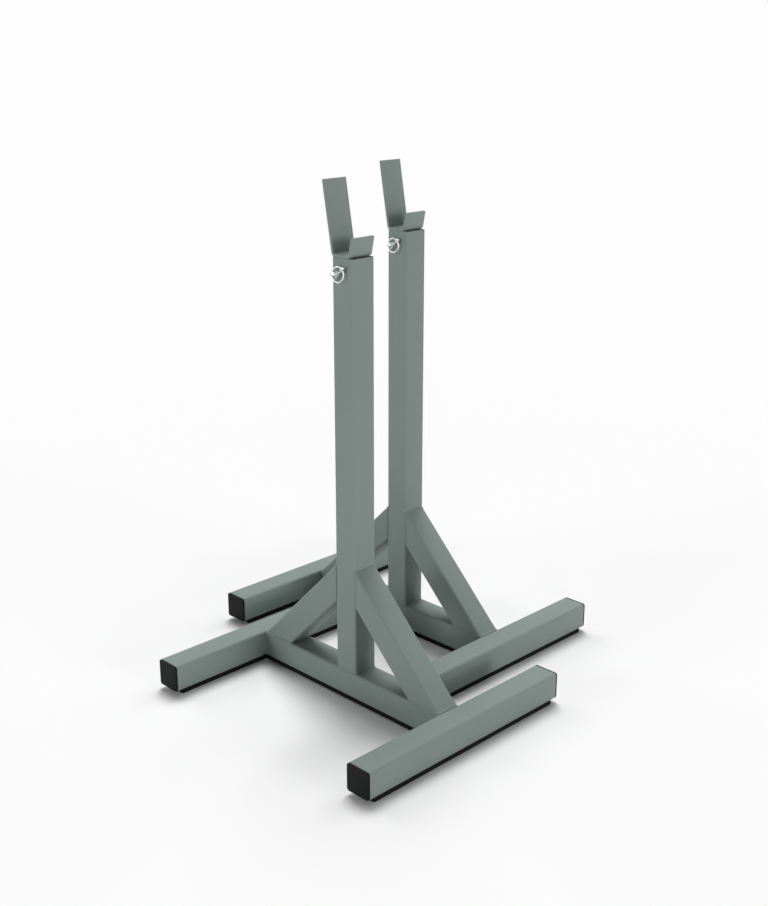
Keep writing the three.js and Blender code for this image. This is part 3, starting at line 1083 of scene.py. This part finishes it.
for stand in ("near_", "far_"):
    build_frame(stand, stand + "stand")
    for strip_place in ("front", "middle", "back"):
        build_strip(stand, strip_place, stand + "stand")
    for foot_end in ("front", "back"):
        for foot_hand in ("left", "right"):
            build_cap(stand, foot_end, foot_hand, stand + "stand")
    build_post(stand, stand + "sliding_post")
    build_hook(stand, stand + "sliding_post")
    build_lock_pin(stand, stand + "pull_pin")
    build_linch_pin(stand, stand + "clip_pin")
    build_ring(stand, stand + "clip_ring")
    post_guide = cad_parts[stand + "post_guide"]
    post_guide.data.materials.clear()
    post_guide.data.materials.append(PLASTIC)


# Stage and light

# Half the floor's side, and how far out it begins and ends to turn white, in metres
FLOOR_HALF = 30.0
FLOOR_FADE_START = 1.3
FLOOR_FADE_END = 3.2

WORLD_FILL = 0.02

# Each lamp's name, azimuth, elevation, spread and strength. The main light stands high
# behind the stands, so that their shadows fall to the camera.
SOFTBOXES = (
    ("main_softbox", 45, 62, 30, 2.25),
    ("back_left_softbox", 90, 35, 30, 0.66),
    ("back_right_softbox", 0, 35, 30, 0.42),
    ("right_softbox", 315, 55, 40, 0.18),
    ("low_left_softbox", 165, 9, 22, 1.02),
    ("low_front_softbox", 225, 7, 12, 0.2),
    ("low_right_softbox", 277, 9, 22, 1.15),
)


def white_to_the_eye(tree):
    """1 for camera, glossy and transmission rays, which see the plain white backdrop."""
    path = add(tree, "ShaderNodeLightPath").outputs
    seen = add(tree, "ShaderNodeMath", {"operation": "MAXIMUM"}, {
        0: path["Is Camera Ray"],
        1: path["Is Glossy Ray"],
    })
    return add(tree, "ShaderNodeMath", {"operation": "MAXIMUM"}, {
        0: seen.outputs[0],
        1: path["Is Transmission Ray"],
    }).outputs[0]


def studio_floor():
    """A seamless pale studio floor, which turns to the white backdrop far away."""
    material, tree, place = new_material("studio_floor")
    distance = add(tree, "ShaderNodeVectorMath", {"operation": "LENGTH"}, {0: place})
    far = add(tree, "ShaderNodeMapRange", {"interpolation_type": "SMOOTHSTEP"}, {
        "Value": distance.outputs["Value"],
        "From Min": FLOOR_FADE_START,
        "From Max": FLOOR_FADE_END,
    })
    away = add(tree, "ShaderNodeMath", {"operation": "MULTIPLY"}, {
        0: far.outputs["Result"],
        1: white_to_the_eye(tree),
    })
    matt = add(tree, "ShaderNodeBsdfDiffuse", links={"Color": linear("#fbfbfb")})
    glow = add(tree, "ShaderNodeEmission", links={"Color": linear("#fdfdfd")})
    blend = add(tree, "ShaderNodeMixShader", links={
        0: away.outputs[0],
        1: matt.outputs[0],
        2: glow.outputs[0],
    })
    add(tree, "ShaderNodeOutputMaterial", links={"Surface": blend.outputs[0]})
    return material


floor_mesh = bpy.data.meshes.new("floor")
floor_mesh.from_pydata([
    (-FLOOR_HALF, -FLOOR_HALF, 0),
    (FLOOR_HALF, -FLOOR_HALF, 0),
    (FLOOR_HALF, FLOOR_HALF, 0),
    (-FLOOR_HALF, FLOOR_HALF, 0),
], [], [(0, 1, 2, 3)])
floor_mesh.materials.append(studio_floor())
floor = bpy.data.objects.new("floor", floor_mesh)
bpy.context.scene.collection.objects.link(floor)

world = bpy.data.worlds.new("studio")
bpy.context.scene.world = world
world.use_nodes = True
world.node_tree.nodes.clear()
backdrop = add(world.node_tree, "ShaderNodeBackground", links={
    "Color": linear("#fdfdfd"),
    "Strength": 1.0,
})
fill = add(world.node_tree, "ShaderNodeBackground", links={
    "Color": linear("#ffffff"),
    "Strength": WORLD_FILL,
})
world_mix = add(world.node_tree, "ShaderNodeMixShader", links={
    0: white_to_the_eye(world.node_tree),
    1: fill.outputs[0],
    2: backdrop.outputs[0],
})
add(world.node_tree, "ShaderNodeOutputWorld", links={"Surface": world_mix.outputs[0]})


def far_softbox(name, azimuth, elevation, spread, strength):
    """A wide soft light from so far away that it lights the whole floor evenly. Azimuth 0
    is at +X, and its spread is how wide it looks from the stands, in degrees."""
    lamp = bpy.data.objects.new(name, bpy.data.lights.new(name, "SUN"))
    bpy.context.scene.collection.objects.link(lamp)
    lamp.data.angle = math.radians(spread)
    lamp.data.energy = strength
    around, rise = math.radians(azimuth), math.radians(elevation)
    out = Vector((
        math.cos(rise) * math.cos(around),
        math.cos(rise) * math.sin(around),
        math.sin(rise),
    ))
    lamp.rotation_euler = out.to_track_quat("Z", "Y").to_euler()


for softbox in SOFTBOXES:
    far_softbox(*softbox)
